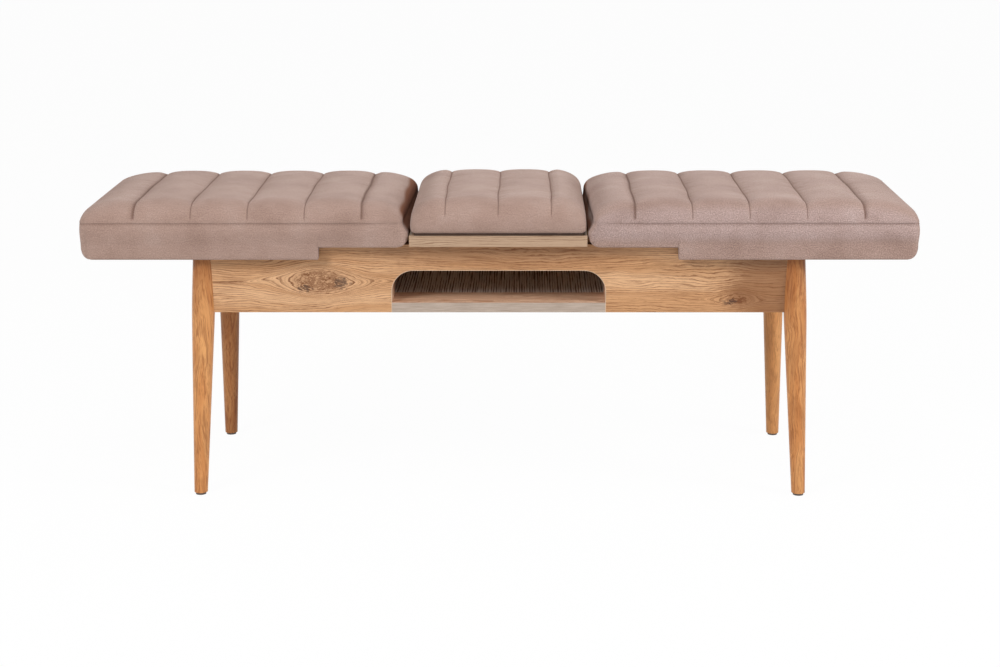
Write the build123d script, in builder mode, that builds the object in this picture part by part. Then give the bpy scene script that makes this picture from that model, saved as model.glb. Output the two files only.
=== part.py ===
from build123d import *
import os
from math import cos, radians, sin, sqrt, tan

# Extending upholstered bench, pulled out, with its loose centre leaf laid in the gap.
# Millimetres. Origin on the floor under the middle of the bench, +X along the bench, -Y to the front, +Z up.

os.makedirs("parts", exist_ok=True)

# Seat halves and leaf
seat_half_length = 550
seat_depth = 350
leaf_length = 297
leaf_play = 1.5
board_thickness = 18
fabric = 2
skirt_thickness = 16
skirt_drop = 22
notch_length = 151
toe_radius = 20
lip_radius = 20
corner_radius = 10

# Cushions
band_height = 39.6
cushion_rise = 29.5
crown_share = 0.06
seam_depth = 6
edge_roll = 28
edge_share = 0.16
end_roll = 26
inner_roll = 46
draw_in = 4
seam_tuck = 0.6
loft_tuck = 5
first_channel = 92
inner_channel = 78
half_seam_count = 5
leaf_channel = 92
leaf_seam_count = 3
pad_base_thickness = 4
pad_base_inset = 6
pad_inset = 1.5

# Apron box
apron_bottom = 316
apron_height = 117
apron_thickness = 18
apron_setback = 25
leg_spacing = 999
leg_inset = 2
apron_housing = 6
opening_width = 361
opening_height = 72
opening_radius = 37
edging_thickness = 1

# Storage shelf
shelf_thickness = 16.7
wall_thickness = 16
wall_height = 74

# Legs
foot_radius = 11.25
knee_radius = 19.7
top_radius = 18.6
knee_height = 322
knee_blend = 2000
splay_along = 2.25
splay_across = 5.25
leg_top_drop = 3
leg_trim = 8
glide_height = 4
glide_radius = 9
glide_pin_radius = 1.5
glide_pin_length = 15

# Slide
slide_travel = 30
slide_gap = 0.3
button_stand = 0.7
button_radius = 6
button_stem_radius = 3
button_stem_length = 12
button_places = (100, 230, 420)
rail_thickness = 20
rail_height = 30
rail_drop = 3
rail_end_gap = 6
groove_height = 8
groove_depth = 9
groove_gap = 0.3
runner_thickness = 18
runner_gap = 0.5
runner_setback = 20
tongue_setback = 14
batten_thickness = 18
batten_height = 16
batten_length = 260
batten_play = 1.5

# Fasteners
dowel_radius = 4
dowel_length = 36
dowel_in_apron = 20
long_dowel_heights = (29, 89)
end_dowel_heights = (14, 74)
wall_dowel_length = 30
wall_dowel_in_apron = 12
wall_dowel_heights = (26, 56)
block_near = 25
block_far = 60
block_height = 56
block_dowel_length = 24
bolt_rise = 42
bolt_radius = 4
bolt_past_axis = 5
bolt_tail = 4
washer_radius = 8
washer_thickness = 1.6
nut_width = 13
nut_height = 6.5
screw_radius = 2
screw_head_radius = 4
screw_head_height = 2.5
shelf_screw_length = 45
rail_screw_length = 30
runner_screw_length = 42
skirt_screw_length = 32
batten_screw_length = 28
pad_screw_length = 20

# Heights and faces that follow from the sizes above
apron_top = apron_bottom + apron_height
apron_mid = apron_bottom + apron_height / 2
board_bottom = apron_top + button_stand + slide_gap
board_top = board_bottom + board_thickness
skirt_bottom = board_bottom - skirt_drop
band_seam = board_bottom + band_height
half_start = leaf_length / 2 + leaf_play
half_end = half_start + seat_half_length
notch_x = half_start + notch_length
skirt_inner_y = seat_depth / 2 - fabric - skirt_thickness
apron_y = seat_depth / 2 - apron_setback - apron_thickness / 2
apron_inner_y = apron_y - apron_thickness / 2
end_apron_x = leg_spacing / 2
end_apron_inner_x = end_apron_x - apron_thickness / 2
leg_y = apron_y - leg_inset
apron_end_x = end_apron_x - knee_radius + apron_housing
end_apron_end_y = leg_y - knee_radius + apron_housing
bolt_height = apron_bottom + bolt_rise
rail_top = apron_top - rail_drop
rail_mid = rail_top - rail_height / 2
rail_inner_y = apron_inner_y - rail_thickness
runner_outer_y = rail_inner_y - runner_gap
runner_mid_y = runner_outer_y - runner_thickness / 2
runner_start = half_start + runner_setback
runner_end = end_apron_inner_x - slide_travel - slide_gap
pad_bottom = board_top + pad_base_thickness
pad_length = leaf_length - 2 * pad_inset
half_channel = (seat_half_length - first_channel - inner_channel) / (half_seam_count - 1)
wall_x = opening_width / 2 + wall_thickness / 2
wall_top = apron_bottom + wall_height
shelf_mid = apron_bottom + shelf_thickness / 2

base = (Align.CENTER, Align.CENTER, Align.MIN)
corners = [(side, row) for side in (-1, 1) for row in (-1, 1)]


def hand_over(piece, name):
    """Label a finished piece and write it under its own name."""
    piece.part.label = name
    export_step(piece.part, f"parts/{name}.step")


def block(x_span, y_span, z_span, mode=Mode.ADD):
    """Board between two limits on each axis, in the part being built."""
    spans = (x_span, y_span, z_span)
    sizes = [abs(high - low) for low, high in spans]
    with Locations(tuple((low + high) / 2 for low, high in spans)):
        Box(*sizes, mode=mode)


def pegs(seats, radius, length, mode=Mode.ADD):
    """Round pegs, or their holes, that start at each seat and run along its normal."""
    with Locations(*seats):
        Cylinder(radius, length, align=base, mode=mode)


def screws(seats, length, mode=Mode.ADD):
    """Countersunk screws, or their holes: the head is flush with each seat."""
    pegs(seats, screw_radius, length, mode)
    with Locations(*seats):
        Cone(screw_head_radius, screw_radius, screw_head_height, align=base, mode=mode)


def seat_plane(x, y, z, direction):
    """Where a fastener starts and the way it points."""
    return Plane(origin=(x, y, z), z_dir=direction)


# Seats of the frame's fasteners, shared by the fasteners and the holes that take them
apron_dowel_seats = []
block_dowel_seats = []
for side, row in corners:
    for rise in long_dowel_heights:
        start_x = side * (apron_end_x - dowel_in_apron)
        apron_dowel_seats.append(seat_plane(start_x, row * apron_y, apron_bottom + rise, (side, 0, 0)))
    for rise in end_dowel_heights:
        start_y = row * (end_apron_end_y - dowel_in_apron)
        apron_dowel_seats.append(seat_plane(side * end_apron_x, start_y, apron_bottom + rise, (0, row, 0)))
    block_middle = (block_near + block_far) / 2
    inside_y = row * (apron_inner_y - block_dowel_length / 2)
    inside_x = side * (end_apron_inner_x - block_dowel_length / 2)
    across_x = side * (end_apron_inner_x - block_middle)
    across_y = row * (apron_inner_y - block_middle)
    block_dowel_seats.append(seat_plane(across_x, inside_y, bolt_height, (0, row, 0)))
    block_dowel_seats.append(seat_plane(inside_x, across_y, bolt_height, (side, 0, 0)))

wall_dowel_seats = [
    seat_plane(side * wall_x, row * (apron_inner_y + wall_dowel_in_apron), apron_bottom + rise, (0, -row, 0))
    for side, row in corners
    for rise in wall_dowel_heights
]
shelf_screw_seats = [
    seat_plane(side * (wall_x + wall_thickness / 2), share * apron_inner_y, shelf_mid, (-side, 0, 0))
    for side in (-1, 1)
    for share in (-0.75, 0, 0.75)
]
rail_screw_z = (rail_mid - groove_height / 2 + rail_top - rail_height) / 2
rail_screw_seats = {
    row: [
        seat_plane(share * apron_end_x, row * rail_inner_y, rail_screw_z, (0, row, 0))
        for share in (-0.85, -0.45, 0, 0.45, 0.85)
    ]
    for row in (-1, 1)
}
button_seats = {
    row: [
        seat_plane(side * place, row * apron_y, apron_top, (0, 0, -1))
        for side in (-1, 1)
        for place in button_places
    ]
    for row in (-1, 1)
}


def leg_point(side, row, z):
    """Point on a leg's axis at height z: it leans outwards to the foot about the middle of the apron."""
    drop = apron_mid - z
    x = side * (end_apron_x + drop * tan(radians(splay_along)))
    y = row * (leg_y + drop * tan(radians(splay_across)))
    return Vector(x, y, z)


def bolt_plane(side, row):
    """Where a hanger bolt starts, past the leg's axis, and its way inwards through the corner block."""
    inwards = Vector(-side, -row, 0).normalized()
    return Plane(origin=leg_point(side, row, bolt_height) - inwards * bolt_past_axis, z_dir=inwards)


def block_depth(side, row, reach):
    """Distance along the bolt from its start to the slanting block face that leaves reach on each apron."""
    start = bolt_plane(side, row).origin
    past_x = end_apron_inner_x - abs(start.X)
    past_y = apron_inner_y - abs(start.Y)
    return (reach - past_x - past_y) / sqrt(2)


def long_apron(row, with_opening):
    """Front or rear apron, housed into the legs at both ends; the front one has the storage notch."""
    with BuildPart() as apron:
        outer_y = row * (apron_y + apron_thickness / 2)
        block((-apron_end_x, apron_end_x), (row * apron_inner_y, outer_y), (apron_bottom, apron_top))
        if with_opening:
            with BuildSketch(Plane.XZ):
                opening_face(edging_thickness)
            extrude(amount=seat_depth, mode=Mode.SUBTRACT)
        pegs(apron_dowel_seats, dowel_radius, dowel_length, Mode.SUBTRACT)
        pegs(block_dowel_seats, dowel_radius, block_dowel_length, Mode.SUBTRACT)
        pegs(wall_dowel_seats, dowel_radius, wall_dowel_length, Mode.SUBTRACT)
        screws(rail_screw_seats[row], rail_screw_length, Mode.SUBTRACT)
        pegs(button_seats[row], button_stem_radius, button_stem_length, Mode.SUBTRACT)
    return apron


def opening_face(grow):
    """Storage notch seen from the front: open at the apron's lower edge, round at its upper corners."""
    height = opening_height + grow
    with Locations((0, apron_bottom + height / 2)):
        Rectangle(opening_width + 2 * grow, height)
    fillet(vertices().group_by(Axis.Y)[-1], opening_radius + grow)


hand_over(long_apron(-1, True), "front_apron")
hand_over(long_apron(1, False), "rear_apron")

# Strip glued to the cut edge of the notch
with BuildPart() as opening_edging:
    with BuildSketch(Plane.XZ.offset(apron_inner_y)):
        opening_face(edging_thickness)
        with BuildSketch(mode=Mode.SUBTRACT):
            opening_face(0)
    extrude(amount=apron_thickness)
hand_over(opening_edging, "opening_edging")

for name, side in (("left", -1), ("right", 1)):
    with BuildPart() as end_apron:
        outer_x = side * (end_apron_x + apron_thickness / 2)
        end_x_span = (side * end_apron_inner_x, outer_x)
        block(end_x_span, (-end_apron_end_y, end_apron_end_y), (apron_bottom, apron_top))
        pegs(apron_dowel_seats, dowel_radius, dowel_length, Mode.SUBTRACT)
        pegs(block_dowel_seats, dowel_radius, block_dowel_length, Mode.SUBTRACT)
    hand_over(end_apron, f"{name}_apron")


def turned_leg(side, row):
    """Tapered round leg on its leaning axis, cut level at both ends and housed for the two aprons."""
    foot = leg_point(side, row, 0)
    upwards = (leg_point(side, row, apron_top) - foot).normalized()
    outwards = upwards.cross(Vector(0, 1, 0)).normalized()
    with BuildPart() as leg:
        with BuildSketch(Plane(origin=foot, x_dir=outwards, z_dir=outwards.cross(upwards))):
            with BuildLine():
                side_line = FilletPolyline(
                    (foot_radius, -leg_trim),
                    (knee_radius, knee_height),
                    (top_radius, apron_top + leg_trim),
                    radius=knee_blend,
                )
                Polyline(side_line @ 1, (0, apron_top + leg_trim), (0, -leg_trim), side_line @ 0)
            make_face()
        revolve(axis=Axis(foot, upwards))
        split(bisect_by=Plane.XY.offset(glide_height), keep=Keep.TOP)
        split(bisect_by=Plane.XY.offset(apron_top - leg_top_drop), keep=Keep.BOTTOM)
        long_y_span = (row * apron_inner_y, row * (apron_y + apron_thickness / 2))
        block((-apron_end_x, apron_end_x), long_y_span, (apron_bottom, apron_top), Mode.SUBTRACT)
        end_x_span = (side * end_apron_inner_x, side * (end_apron_x + apron_thickness / 2))
        end_y_span = (-end_apron_end_y, end_apron_end_y)
        block(end_x_span, end_y_span, (apron_bottom, apron_top), Mode.SUBTRACT)
        pegs(apron_dowel_seats, dowel_radius, dowel_length, Mode.SUBTRACT)
        pegs([bolt_plane(side, row)], bolt_radius, block_depth(side, row, block_near), Mode.SUBTRACT)
        pegs([glide_plane(side, row)], glide_pin_radius, glide_pin_length, Mode.SUBTRACT)
    return leg


def glide_plane(side, row):
    """Top of a foot glide, where its pin enters the leg."""
    return Plane(origin=leg_point(side, row, glide_height))


for row_name, row in (("front", -1), ("rear", 1)):
    for side_name, side in (("left", -1), ("right", 1)):
        hand_over(turned_leg(side, row), f"{row_name}_{side_name}_leg")

with BuildPart() as foot_glides:
    for side, row in corners:
        pegs([leg_point(side, row, 0)], glide_radius, glide_height)
        pegs([glide_plane(side, row)], glide_pin_radius, glide_pin_length)
hand_over(foot_glides, "foot_glides")

with BuildPart() as apron_dowels:
    pegs(apron_dowel_seats, dowel_radius, dowel_length)
hand_over(apron_dowels, "apron_dowels")

# Slanting blocks that brace the apron corners and pull the legs in
with BuildPart() as corner_blocks:
    for side, row in corners:
        with BuildSketch(Plane.XY.offset(bolt_height - block_height / 2)):
            outline = [(block_near, 0), (block_far, 0), (0, block_far), (0, block_near)]
            places = [(side * (end_apron_inner_x - u), row * (apron_inner_y - v)) for u, v in outline]
            with BuildLine():
                Polyline(*places, close=True)
            make_face()
    extrude(amount=block_height)
    for side, row in corners:
        pegs([bolt_plane(side, row)], bolt_radius, block_depth(side, row, block_far), Mode.SUBTRACT)
    pegs(block_dowel_seats, dowel_radius, block_dowel_length, Mode.SUBTRACT)
hand_over(corner_blocks, "corner_blocks")

with BuildPart() as block_dowels:
    pegs(block_dowel_seats, dowel_radius, block_dowel_length)
hand_over(block_dowels, "block_dowels")

with BuildPart() as hanger_bolts:
    for side, row in corners:
        reach = block_depth(side, row, block_far) + washer_thickness + nut_height + bolt_tail
        pegs([bolt_plane(side, row)], bolt_radius, reach)
hand_over(hanger_bolts, "hanger_bolts")

with BuildPart() as hanger_washers:
    for side, row in corners:
        with Locations(bolt_plane(side, row).offset(block_depth(side, row, block_far))):
            Cylinder(washer_radius, washer_thickness, align=base)
            Cylinder(bolt_radius, washer_thickness, align=base, mode=Mode.SUBTRACT)
hand_over(hanger_washers, "hanger_washers")

with BuildPart() as hanger_nuts:
    for side, row in corners:
        with BuildSketch(bolt_plane(side, row).offset(block_depth(side, row, block_far) + washer_thickness)):
            RegularPolygon(nut_width / 2, 6, major_radius=False)
            Circle(bolt_radius, mode=Mode.SUBTRACT)
        extrude(amount=nut_height)
hand_over(hanger_nuts, "hanger_nuts")

# Storage box between the aprons, open to the front through the notch
with BuildPart() as storage_shelf:
    half_width = opening_width / 2
    shelf_y_span = (-apron_y - apron_thickness / 2, apron_inner_y)
    block((-half_width, half_width), shelf_y_span, (apron_bottom, apron_bottom + shelf_thickness))
    screws(shelf_screw_seats, shelf_screw_length, Mode.SUBTRACT)
hand_over(storage_shelf, "storage_shelf")

for name, side in (("left", -1), ("right", 1)):
    with BuildPart() as storage_wall:
        wall_x_span = (side * opening_width / 2, side * (opening_width / 2 + wall_thickness))
        block(wall_x_span, (-apron_inner_y, apron_inner_y), (apron_bottom, wall_top))
        screws(shelf_screw_seats, shelf_screw_length, Mode.SUBTRACT)
        pegs(wall_dowel_seats, dowel_radius, wall_dowel_length, Mode.SUBTRACT)
    hand_over(storage_wall, f"storage_{name}_wall")

with BuildPart() as storage_dowels:
    pegs(wall_dowel_seats, dowel_radius, wall_dowel_length)
hand_over(storage_dowels, "storage_dowels")

with BuildPart() as shelf_screws:
    screws(shelf_screw_seats, shelf_screw_length)
hand_over(shelf_screws, "shelf_screws")

# Grooved rails on the apron's inner faces guide the seat halves
rail_end_x = apron_end_x - apron_housing - rail_end_gap
groove_z_span = (rail_mid - groove_height / 2, rail_mid + groove_height / 2)
for name, row in (("front", -1), ("rear", 1)):
    with BuildPart() as guide_rail:
        rail_y_span = (row * rail_inner_y, row * apron_inner_y)
        groove_y_span = (row * rail_inner_y, row * (rail_inner_y + groove_depth))
        block((-rail_end_x, rail_end_x), rail_y_span, (rail_top - rail_height, rail_top))
        block((-rail_end_x, rail_end_x), groove_y_span, groove_z_span, Mode.SUBTRACT)
        screws(rail_screw_seats[row], rail_screw_length, Mode.SUBTRACT)
    hand_over(guide_rail, f"{name}_guide_rail")

with BuildPart() as rail_screws:
    for row in (-1, 1):
        screws(rail_screw_seats[row], rail_screw_length)
hand_over(rail_screws, "rail_screws")

with BuildPart() as slide_buttons:
    for row in (-1, 1):
        pegs(button_seats[row], button_stem_radius, button_stem_length)
        pegs([seat.offset(-button_stand) for seat in button_seats[row]], button_radius, button_stand)
hand_over(slide_buttons, "slide_buttons")


def crown_form(start, end, seams, start_roll, far_roll, depth, skin):
    """Channelled cushion top: upright sections from front to back, drawn in and lowered by the fabric.

    Each section is a chain of arcs from seam to seam with a roll at both ends. The sections rise over the
    front roll, crown in the middle of the depth, where the ends draw in, and fall again over the rear roll.
    """
    half_depth = depth / 2 - skin - seam_tuck
    roll_sections = []
    for angle in (0, 30, 60, 90):
        lift = sin(radians(angle))
        reach = half_depth - edge_roll * (1 - cos(radians(angle)))
        roll_sections.append((reach, edge_share + (1 - edge_share) * lift, corner_radius * (1 - lift) ** 3))
    sections = [(-reach, share, inset) for reach, share, inset in roll_sections]
    sections.append((0, 1 + crown_share, draw_in))
    sections.extend(reversed(roll_sections))
    seam_line = band_seam - skin
    with BuildPart() as form:
        for y, share, inset in sections:
            low = start + skin + seam_tuck + inset
            high = end - skin - seam_tuck - inset
            top = seam_line + cushion_rise * share
            dip = seam_depth * share
            seam_knots = [(x, top - dip) for x in seams]
            start_shoulder = (low + start_roll, top)
            far_shoulder = (high - far_roll, top)
            with BuildSketch(Plane.XZ.offset(-y)):
                with BuildLine():
                    roll_arc((low, seam_line), start_shoulder)
                    channel_arc(start_shoulder, seam_knots[0], top - dip / 4)
                    for here, there in zip(seam_knots, seam_knots[1:]):
                        channel_arc(here, there, top)
                    channel_arc(seam_knots[-1], far_shoulder, top - dip / 4)
                    roll_arc((high, seam_line), far_shoulder)
                    floor = seam_line - loft_tuck
                    Polyline((low, seam_line), (low, floor), (high, floor), (high, seam_line))
                make_face()
        loft(ruled=True)
    return form.part


def channel_arc(here, there, height):
    """Swell of one channel from one seam or shoulder to the next."""
    ThreePointArc(here, ((here[0] + there[0]) / 2, height), there)


def roll_arc(foot, shoulder):
    """Rounded cushion edge from its foot up to its shoulder."""
    turn = sqrt(0.5)
    middle = (
        foot[0] + (shoulder[0] - foot[0]) * (1 - turn),
        foot[1] + (shoulder[1] - foot[1]) * turn,
    )
    ThreePointArc(foot, middle, shoulder)


def half_block(side, skin):
    """Seat half below its band seam: its front view drawn across the depth, with round corners in plan.

    With a skin it is the room inside the fabric, which is let into the board's lip and under the end skirt.
    """
    turn = sqrt(0.5)
    lip_x, lip_z = half_start + lip_radius, board_bottom + lip_radius
    toe_x, toe_z = half_end - toe_radius, skirt_bottom + toe_radius
    lip, toe = lip_radius - skin, toe_radius - skin
    top = band_seam - skin
    lip_top = (side * (half_start + skin), lip_z)
    lip_middle = (side * (lip_x - lip * turn), lip_z - lip * turn)
    lip_bottom = (side * lip_x, lip_z - lip)
    toe_bottom = (side * toe_x, toe_z - toe)
    toe_middle = (side * (toe_x + toe * turn), toe_z - toe * turn)
    toe_top = (side * (half_end - skin), toe_z)
    underside = [(side * (notch_x + skin), board_bottom), (side * (notch_x + skin), skirt_bottom)]
    if skin:
        underside = [(side * lip_x, board_bottom), *underside, (side * toe_x, skirt_bottom)]
    with BuildPart() as half:
        with BuildSketch(Plane.XZ):
            with BuildLine():
                ThreePointArc(lip_top, lip_middle, lip_bottom)
                Polyline(lip_bottom, *underside, toe_bottom)
                ThreePointArc(toe_bottom, toe_middle, toe_top)
                Polyline(toe_top, (toe_top[0], top), (lip_top[0], top), lip_top)
            make_face()
        extrude(amount=seat_depth / 2 - skin, both=True)
        with BuildSketch(Plane.XY.offset(skirt_bottom)):
            with Locations((side * (half_start + half_end) / 2, 0)):
                RectangleRounded(seat_half_length - 2 * skin, seat_depth - 2 * skin, corner_radius - skin)
        extrude(amount=band_seam - skirt_bottom, mode=Mode.INTERSECT)
    return half.part


def half_top(side, skin):
    """Channelled top of one seat half."""
    seams = sorted(side * (half_end - first_channel - half_channel * i) for i in range(half_seam_count))
    ends = sorted((side * half_start, side * half_end))
    rolls = (end_roll, inner_roll) if side < 0 else (inner_roll, end_roll)
    return crown_form(*ends, seams, *rolls, seat_depth, skin)


long_skirt_mid_y = skirt_inner_y + skirt_thickness / 2
skirt_screw_places = [
    (notch_x + (half_end - notch_x) * share, row * long_skirt_mid_y) for share in (0.15, 0.5, 0.8) for row in (-1, 1)
]
skirt_screw_places.extend((half_end - fabric - skirt_thickness / 2, row * skirt_inner_y / 2) for row in (-1, 1))
runner_shares = (0.12, 0.5, 0.88)

for name, side in (("left", -1), ("right", 1)):
    room = half_block(side, fabric)
    top_room = half_top(side, fabric)
    skirt_seats = [seat_plane(side * x, y, board_top, (0, 0, -1)) for x, y in skirt_screw_places]
    runner_seats = [
        seat_plane(
            side * (runner_start + (runner_end - runner_start) * share),
            row * runner_mid_y,
            rail_top - rail_height,
            (0, 0, 1),
        )
        for share in runner_shares
        for row in (-1, 1)
    ]
    wide_x = (side * (half_start - leaf_play), side * (half_end + leaf_play))
    wide_y = (-seat_depth, seat_depth)
    skirt_z = (skirt_bottom, board_bottom)

    with BuildPart() as seat_board:
        add(room)
        block(wide_x, wide_y, (board_bottom, board_top), Mode.INTERSECT)
        screws(skirt_seats, skirt_screw_length, Mode.SUBTRACT)
        screws(runner_seats, runner_screw_length, Mode.SUBTRACT)
    hand_over(seat_board, f"{name}_seat_board")

    for row_name, row in (("front", -1), ("rear", 1)):
        with BuildPart() as long_skirt:
            add(room)
            block(wide_x, (row * skirt_inner_y, row * seat_depth), skirt_z, Mode.INTERSECT)
            screws(skirt_seats, skirt_screw_length, Mode.SUBTRACT)
        hand_over(long_skirt, f"{name}_{row_name}_skirt")

    with BuildPart() as end_skirt:
        add(room)
        end_x = (side * (half_end - fabric - skirt_thickness), side * half_end)
        block(end_x, (-skirt_inner_y, skirt_inner_y), skirt_z, Mode.INTERSECT)
        screws(skirt_seats, skirt_screw_length, Mode.SUBTRACT)
    hand_over(end_skirt, f"{name}_end_skirt")

    with BuildPart() as seat_foam:
        add(room)
        block(wide_x, wide_y, (board_top, band_seam), Mode.INTERSECT)
        add(top_room)
    hand_over(seat_foam, f"{name}_seat_foam")

    with BuildPart() as seat_cover:
        add(half_block(side, 0))
        add(half_top(side, 0))
        add(room, mode=Mode.SUBTRACT)
        add(top_room, mode=Mode.SUBTRACT)
        hollow_x = (side * (notch_x - fabric), side * (half_end - fabric - skirt_thickness))
        hollow_z = (skirt_bottom - fabric, board_bottom)
        block(hollow_x, (-skirt_inner_y, skirt_inner_y), hollow_z, Mode.SUBTRACT)
    hand_over(seat_cover, f"{name}_seat_cover")

    for row_name, row in (("front", -1), ("rear", 1)):
        with BuildPart() as runner:
            runner_x = (side * runner_start, side * runner_end)
            runner_y = (row * (runner_outer_y - runner_thickness), row * runner_outer_y)
            tongue_x = (side * runner_start, side * (runner_end - tongue_setback))
            tongue_y = (row * runner_outer_y, row * (rail_inner_y + groove_depth - groove_gap))
            tongue_z = (groove_z_span[0] + groove_gap, groove_z_span[1] - groove_gap)
            block(runner_x, runner_y, (rail_top - rail_height, board_bottom))
            block(tongue_x, tongue_y, tongue_z)
            screws(runner_seats, runner_screw_length, Mode.SUBTRACT)
        hand_over(runner, f"{name}_{row_name}_runner")

    with BuildPart() as runner_screws:
        screws(runner_seats, runner_screw_length)
    hand_over(runner_screws, f"{name}_runner_screws")

    with BuildPart() as skirt_screws:
        screws(skirt_seats, skirt_screw_length)
    hand_over(skirt_screws, f"{name}_skirt_screws")


def leaf_pad_block(skin):
    """Leaf pad below the level of the seam, from its base panel up."""
    with BuildPart() as pad:
        with BuildSketch(Plane.XY.offset(pad_bottom)):
            RectangleRounded(pad_length - 2 * skin, seat_depth - 2 * skin, corner_radius - skin)
        extrude(amount=band_seam - skin - pad_bottom)
    return pad.part


def leaf_top(skin):
    """Channelled top of the leaf pad."""
    middle = (leaf_seam_count - 1) / 2
    seams = [(i - middle) * leaf_channel for i in range(leaf_seam_count)]
    return crown_form(-pad_length / 2, pad_length / 2, seams, end_roll, end_roll, seat_depth, skin)


batten_outer_y = rail_inner_y - batten_play
batten_mid_y = batten_outer_y - batten_thickness / 2
batten_bottom = board_bottom - batten_height
batten_screw_seats = [
    seat_plane(share * batten_length, row * batten_mid_y, batten_bottom, (0, 0, 1))
    for share in (-0.35, 0, 0.35)
    for row in (-1, 1)
]
pad_screw_seats = [
    seat_plane(x * leaf_length, y * seat_depth, board_bottom, (0, 0, 1)) for x in (-0.38, 0.38) for y in (-0.2, 0.2)
]

with BuildPart() as leaf_board:
    block((-leaf_length / 2, leaf_length / 2), (-seat_depth / 2, seat_depth / 2), (board_bottom, board_top))
    screws(batten_screw_seats, batten_screw_length, Mode.SUBTRACT)
    screws(pad_screw_seats, pad_screw_length, Mode.SUBTRACT)
hand_over(leaf_board, "leaf_board")

for name, row in (("front", -1), ("rear", 1)):
    with BuildPart() as batten:
        batten_y = (row * (batten_outer_y - batten_thickness), row * batten_outer_y)
        block((-batten_length / 2, batten_length / 2), batten_y, (batten_bottom, board_bottom))
        screws(batten_screw_seats, batten_screw_length, Mode.SUBTRACT)
    hand_over(batten, f"leaf_{name}_batten")

with BuildPart() as leaf_pad_base:
    panel_x = pad_length / 2 - pad_base_inset
    panel_y = seat_depth / 2 - pad_base_inset
    block((-panel_x, panel_x), (-panel_y, panel_y), (board_top, pad_bottom))
    screws(pad_screw_seats, pad_screw_length, Mode.SUBTRACT)
hand_over(leaf_pad_base, "leaf_pad_base")

with BuildPart() as leaf_foam:
    add(leaf_pad_block(fabric))
    add(leaf_top(fabric))
hand_over(leaf_foam, "leaf_foam")

with BuildPart() as leaf_cover:
    add(leaf_pad_block(0))
    add(leaf_top(0))
    add(leaf_pad_block(fabric), mode=Mode.SUBTRACT)
    add(leaf_top(fabric), mode=Mode.SUBTRACT)
hand_over(leaf_cover, "leaf_cover")

with BuildPart() as batten_screws:
    screws(batten_screw_seats, batten_screw_length)
hand_over(batten_screws, "leaf_batten_screws")

with BuildPart() as pad_screws:
    screws(pad_screw_seats, pad_screw_length)
hand_over(pad_screws, "leaf_pad_screws")
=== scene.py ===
"""Extending bench: dresses the packed model in fabric, wood and metal and sets the studio."""

import math
from collections import namedtuple

import bpy
import numpy as np
from bpy.props import FloatProperty, FloatVectorProperty, IntProperty, PointerProperty
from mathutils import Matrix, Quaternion, Vector


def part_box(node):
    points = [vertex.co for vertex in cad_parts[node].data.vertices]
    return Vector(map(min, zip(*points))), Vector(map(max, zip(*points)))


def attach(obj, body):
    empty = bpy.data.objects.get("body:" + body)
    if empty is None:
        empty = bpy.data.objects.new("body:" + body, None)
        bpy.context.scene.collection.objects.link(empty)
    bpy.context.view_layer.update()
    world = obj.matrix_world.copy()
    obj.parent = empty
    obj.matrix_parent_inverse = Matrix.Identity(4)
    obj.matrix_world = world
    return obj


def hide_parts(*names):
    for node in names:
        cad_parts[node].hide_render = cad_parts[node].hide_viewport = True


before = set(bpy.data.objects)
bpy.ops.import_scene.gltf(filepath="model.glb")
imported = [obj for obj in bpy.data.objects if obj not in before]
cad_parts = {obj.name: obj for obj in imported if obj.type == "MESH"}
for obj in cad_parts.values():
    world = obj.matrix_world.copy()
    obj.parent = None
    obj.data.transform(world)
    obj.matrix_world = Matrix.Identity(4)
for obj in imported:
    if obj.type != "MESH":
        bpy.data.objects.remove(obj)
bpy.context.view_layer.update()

bl_info = {
    "name": "Extending bench",
    "version": (1, 0, 0),
    "blender": (4, 5, 0),
    "location": "View3D > Sidebar > Bench",
    "description": "Upholstery, wood finishes and studio for an extending bench",
    "category": "Object",
}

SIDES = ("left", "right")

# Upholstery, in metres
COLUMN_GAP = 0.0055    # mean gap between columns of a pad
ROW_GAP = 0.0065       # between rows of a pad
OUTLINE_GAP = 0.006    # between points round a band
SHORT_RUN = 0.006      # a roll that ends this near a seam runs on to it
CROWN = 0.0015         # rise of a pad's middle over its front and rear
PUCKER = 0.0006        # most height of the puckers beside a seam
SWAY = 0.0008          # how far a seam wanders along X
THICKNESS = 0.0015     # of the band's cloth
CLEARANCE = 0.0004     # between cloth and the boards that it lies on
SKIRT_RADIUS = 0.02    # lower corners of a band, seen from the front
HEM_RADIUS = 0.003     # the band's lower edge in section
HEM_WIDTH = 0.0196     # how far the band runs in under the skirt
NOTCH_GAP = 0.002      # from the end of a skirt to the notch beside the leaf
NOTCH_TWIN = 0.0005    # from the notch's edge to the points on either side of it
BOARD_GAP = 0.0016     # from a seat board down to the band's edge in the notch
BULGE_HEIGHT = 0.031   # how far below its seam a band bulges
PAINTED_END_SHADE_WIDTH = {"left": 0.0175, "right": 0.0085}    # width of the painted shade on the end beside the leaf
THREAD_RADIUS = 0.00042
STITCH_RISE = 0.0002   # of a stitch's middle over the seam
UNSEEN_SEAM = 0.4      # share below which a seam has no stitches

# The cloth that settles the pads
CLOTH_FRAMES = 20
CLOTH_VALUES = {
    "quality": 6,
    "mass": 0.25,
    "tension_stiffness": 18.0,
    "compression_stiffness": 12.0,
    "shear_stiffness": 8.0,
    "bending_stiffness": 0.6,
    "vertex_group_mass": "held",
    "use_pressure": True,
    "uniform_pressure_force": 4.0,
}


def placed(name, data):
    """A new object of some data in the scene."""
    item = bpy.data.objects.new(name, data)
    bpy.context.scene.collection.objects.link(item)
    return item


def view_line(place, aim):
    """The turn of a lamp or camera at a place that looks at the aim."""
    return (Vector(aim) - Vector(place)).to_track_quat("-Z", "Y")


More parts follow.
